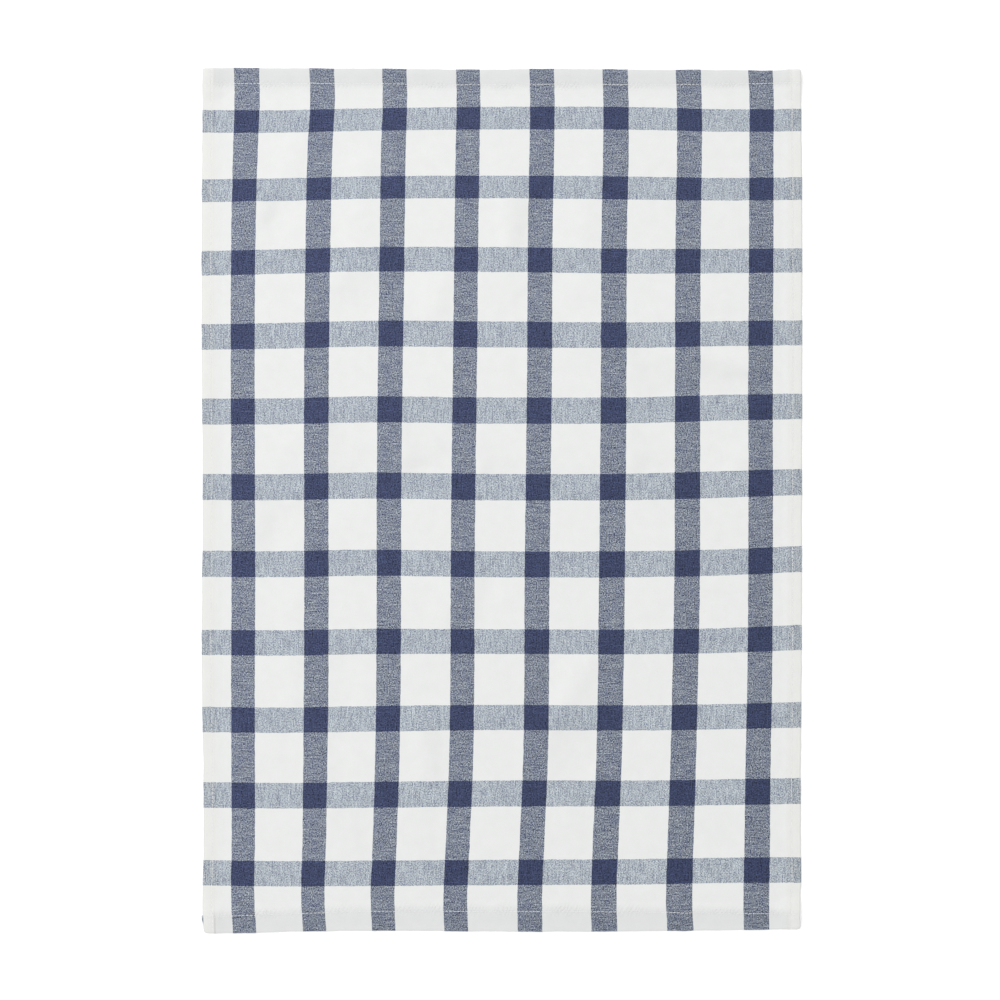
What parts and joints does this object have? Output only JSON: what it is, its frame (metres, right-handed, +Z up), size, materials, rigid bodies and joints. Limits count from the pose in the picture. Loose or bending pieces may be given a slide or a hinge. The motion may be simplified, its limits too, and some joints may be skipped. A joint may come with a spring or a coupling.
{
  "type": "tea towel",
  "caption": "Rectangular woven cotton tea towel in a blue and white windowpane check, hemmed on every side, lying flat and face up.",
  "frame": {"origin": "under the middle of the towel, on the surface that it lies on", "axes": "+Y along the towel's length, towards the end that is uppermost in the picture; +X along its width; +Z up, out of the cloth's face"},
  "size_m": [0.4514, 0.6506, 0.0032],
  "materials": {
    "check_cotton": "matt plain weave, white ground with dark blue check bands"
  },
  "bodies": {
    "root": {"towel_cloth": "check_cotton"}
  },
  "joints": []
}
